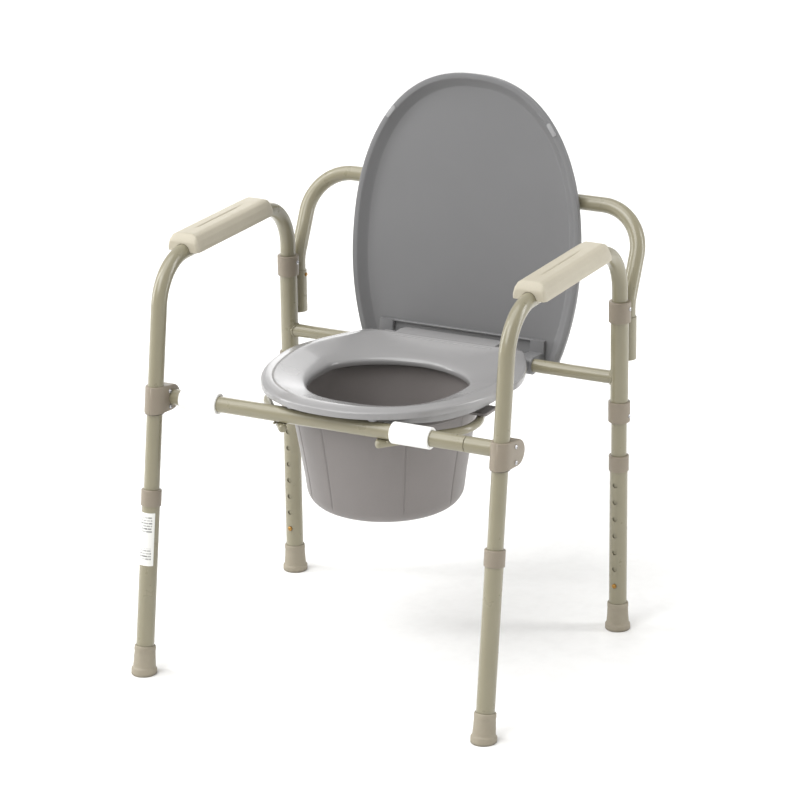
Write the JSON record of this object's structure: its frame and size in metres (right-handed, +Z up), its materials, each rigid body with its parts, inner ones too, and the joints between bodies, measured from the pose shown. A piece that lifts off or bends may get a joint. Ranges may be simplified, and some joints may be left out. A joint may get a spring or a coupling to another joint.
{
  "type": "commode chair",
  "caption": "Height-adjustable bent-tube commode chair with armrests, plug-in back bar, hinged seat and lid, and a round bucket carried on rails under the seat.",
  "frame": {"origin": "on the floor, under the middle of the chair's bounding box at rest", "axes": "+Z up, the front of the chair faces -Y, +X is to the right of a viewer who faces the front"},
  "size_m": [0.578, 0.5501, 0.7708],
  "materials": {
    "frame_paint": "satin powder coat, warm beige",
    "fitting_plastic": "satin, taupe",
    "armrest_plastic": "fine satin, cream",
    "seat_plastic": "semi-gloss, light grey",
    "lid_plastic": "semi-gloss, mid grey",
    "bucket_plastic": "semi-gloss, warm grey",
    "sleeve_plastic": "semi-gloss, off-white",
    "button_brass": "plain, slightly dull",
    "screw_steel": "plain, darkened",
    "tip_rubber": "matt, grey-brown",
    "bumper_rubber": "matt, dark grey",
    "label_film": "smooth, white"
  },
  "bodies": {
    "frame": {"left_arm_frame": "frame_paint", "right_arm_frame": "frame_paint", "left_armrest": "armrest_plastic", "right_armrest": "armrest_plastic", "left_front_clamp": "fitting_plastic", "right_front_clamp": "fitting_plastic", "left_bar_stub": "frame_paint", "right_bar_stub": "frame_paint", "left_bucket_rail": "frame_paint", "right_bucket_rail": "frame_paint", "left_pivot_sleeve": "frame_paint", "right_pivot_sleeve": "frame_paint", "left_back_socket": "frame_paint", "right_back_socket": "frame_paint", "left_upper_collar": "fitting_plastic", "right_upper_collar": "fitting_plastic", "left_lower_collar": "fitting_plastic", "right_lower_collar": "fitting_plastic", "armrest_screws": "screw_steel", "clamp_screws": "screw_steel", "collar_screws": "screw_steel", "rear_crossbar": "frame_paint", "front_bar": "frame_paint", "bucket": "bucket_plastic"},
    "seat": {"seat": "seat_plastic", "seat_bumpers": "bumper_rubber"},
    "lid": {"lid": "lid_plastic", "lid_bumpers": "bumper_rubber"},
    "back_bar": {"back_bar": "frame_paint"},
    "left_back_button": {"left_back_button": "button_brass"},
    "right_back_button": {"right_back_button": "button_brass"},
    "left_lock_sleeve": {"left_lock_sleeve": "sleeve_plastic"},
    "right_lock_sleeve": {"right_lock_sleeve": "sleeve_plastic"},
    "front_left_extension": {"front_left_extension": "frame_paint", "front_left_collar": "fitting_plastic", "front_left_tip": "tip_rubber", "size_label": "label_film"},
    "front_left_button": {"front_left_button": "button_brass"},
    "front_right_extension": {"front_right_extension": "frame_paint", "front_right_collar": "fitting_plastic", "front_right_tip": "tip_rubber"},
    "front_right_button": {"front_right_button": "button_brass"},
    "rear_left_extension": {"rear_left_extension": "frame_paint", "rear_left_collar": "fitting_plastic", "rear_left_tip": "tip_rubber"},
    "rear_left_button": {"rear_left_button": "button_brass"},
    "rear_right_extension": {"rear_right_extension": "frame_paint", "rear_right_collar": "fitting_plastic", "rear_right_tip": "tip_rubber"},
    "rear_right_button": {"rear_right_button": "button_brass"}
  },
  "joints": [
    {"name": "lid_hinge", "type": "hinge", "parent": "frame", "child": "lid", "pos_m": [0, 0.1778, 0.3775], "axis": [-1, 0, 0], "range_deg": [-95.7, 0]},
    {"name": "seat_hinge", "type": "hinge", "parent": "frame", "child": "seat", "pos_m": [0, 0.1778, 0.3775], "axis": [-1, 0, 0], "range_deg": [0, 95]},
    {"name": "back_bar_lift", "type": "slide", "parent": "frame", "child": "back_bar", "axis": [0, 0, 1], "range_m": [0, 0.055]},
    {"name": "left_back_button_press", "type": "slide", "parent": "back_bar", "child": "left_back_button", "axis": [-1, 0, 0], "range_m": [0, 0.0035], "stiffness_N_per_m": 500, "springref_m": -0.003},
    {"name": "right_back_button_press", "type": "slide", "parent": "back_bar", "child": "right_back_button", "axis": [1, 0, 0], "range_m": [0, 0.0035], "stiffness_N_per_m": 500, "springref_m": -0.003},
    {"name": "left_lock_sleeve_slide", "type": "slide", "parent": "frame", "child": "left_lock_sleeve", "axis": [1, 0, 0], "range_m": [0, 0.0835]},
    {"name": "right_lock_sleeve_slide", "type": "slide", "parent": "frame", "child": "right_lock_sleeve", "axis": [1, 0, 0], "range_m": [0, 0.0835]},
    {"name": "front_left_height", "type": "slide", "parent": "frame", "child": "front_left_extension", "axis": [0, -0.1428, -0.9898], "range_m": [0, 0.1524]},
    {"name": "front_left_button_press", "type": "slide", "parent": "frame", "child": "front_left_button", "axis": [0, -0.9898, 0.1428], "range_m": [0, 0.0045], "stiffness_N_per_m": 600, "springref_m": -0.003},
    {"name": "front_right_height", "type": "slide", "parent": "frame", "child": "front_right_extension", "axis": [0, -0.1428, -0.9898], "range_m": [0, 0.1524]},
    {"name": "front_right_button_press", "type": "slide", "parent": "frame", "child": "front_right_button", "axis": [0, -0.9898, 0.1428], "range_m": [0, 0.0045], "stiffness_N_per_m": 600, "springref_m": -0.003},
    {"name": "rear_left_height", "type": "slide", "parent": "frame", "child": "rear_left_extension", "axis": [0, 0, -1], "range_m": [0, 0.1524]},
    {"name": "rear_left_button_press", "type": "slide", "parent": "frame", "child": "rear_left_button", "axis": [0, 1, 0], "range_m": [0, 0.0045], "stiffness_N_per_m": 600, "springref_m": -0.003},
    {"name": "rear_right_height", "type": "slide", "parent": "frame", "child": "rear_right_extension", "axis": [0, 0, -1], "range_m": [0, 0.1524]},
    {"name": "rear_right_button_press", "type": "slide", "parent": "frame", "child": "rear_right_button", "axis": [0, 1, 0], "range_m": [0, 0.0045], "stiffness_N_per_m": 600, "springref_m": -0.003}
  ]
}
